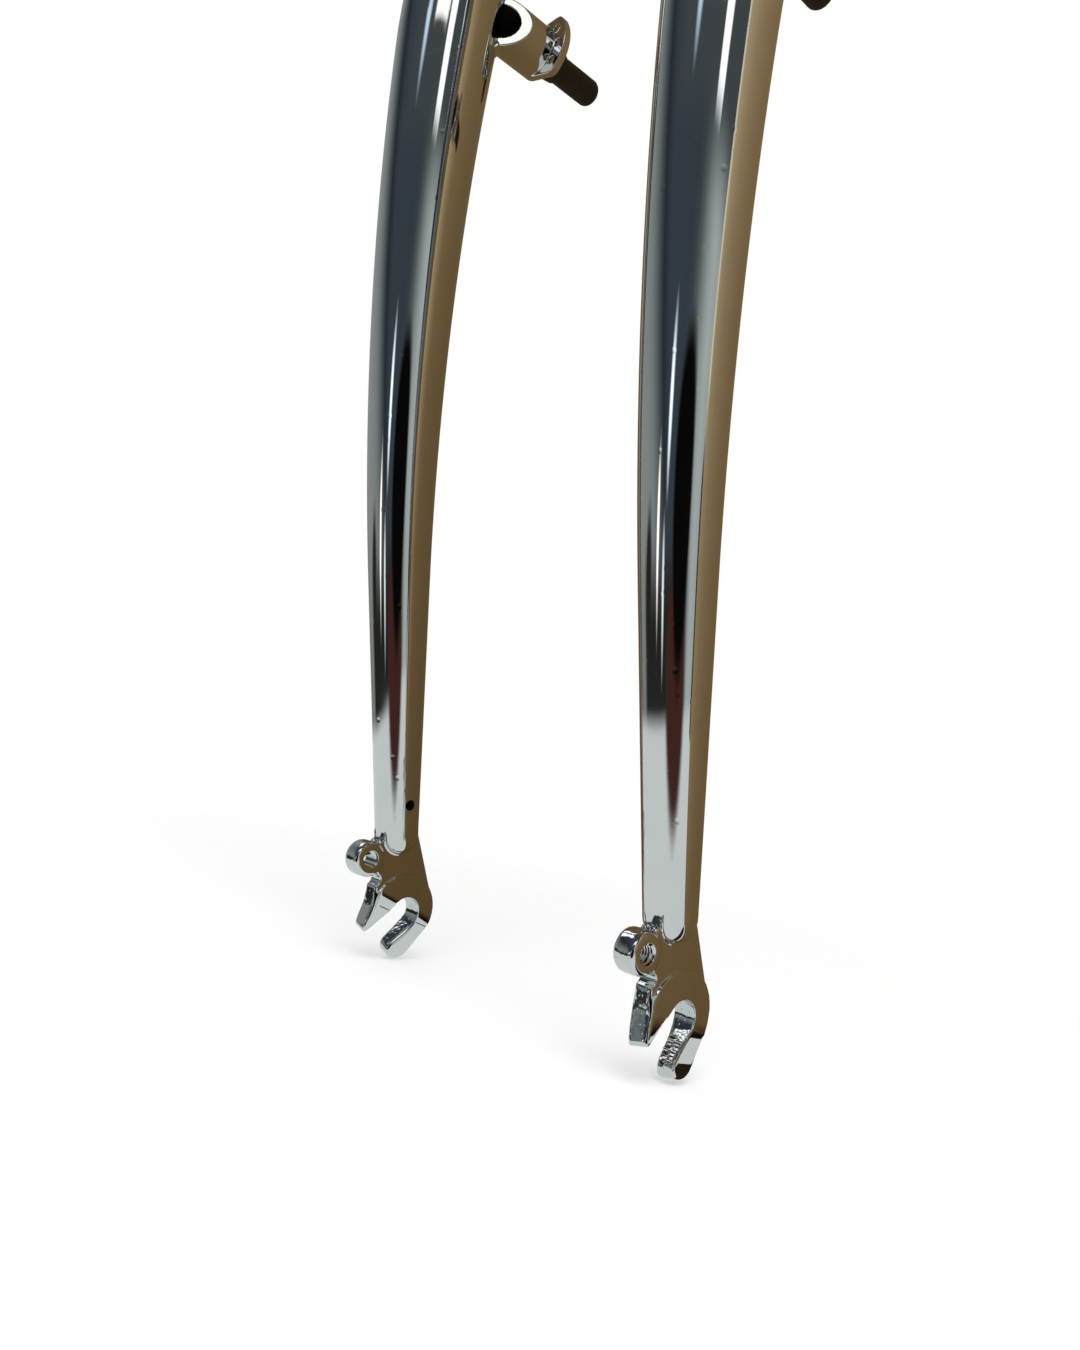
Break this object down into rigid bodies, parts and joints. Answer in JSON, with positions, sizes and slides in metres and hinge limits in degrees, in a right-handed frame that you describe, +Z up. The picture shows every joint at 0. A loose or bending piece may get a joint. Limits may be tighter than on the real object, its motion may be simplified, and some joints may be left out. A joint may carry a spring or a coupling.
{
  "type": "rigid bicycle fork",
  "caption": "Chromed rigid bicycle fork with a plain steerer, raked tapered blades, slotted fork ends with fender eyelets and cantilever brake bosses.",
  "frame": {"origin": "on the steering axis, in the plane that the crown race sits on", "axes": "+X to the front of the bicycle, +Y to its left, +Z up the steering axis"},
  "size_m": [0.0722, 0.1316, 0.6738],
  "materials": {
    "chromed_steel": "bright chrome plate on steel, a little pitted at the edges",
    "black_oxide_steel": "matt black oxide on turned steel"
  },
  "bodies": {
    "root": {"steerer_tube": "chromed_steel", "fork_blade_left": "chromed_steel", "fork_blade_right": "chromed_steel", "fork_end_left": "chromed_steel", "fork_end_right": "chromed_steel", "brake_boss_left": "chromed_steel", "brake_boss_right": "chromed_steel", "pivot_stud_left": "black_oxide_steel", "pivot_stud_right": "black_oxide_steel"}
  },
  "joints": []
}
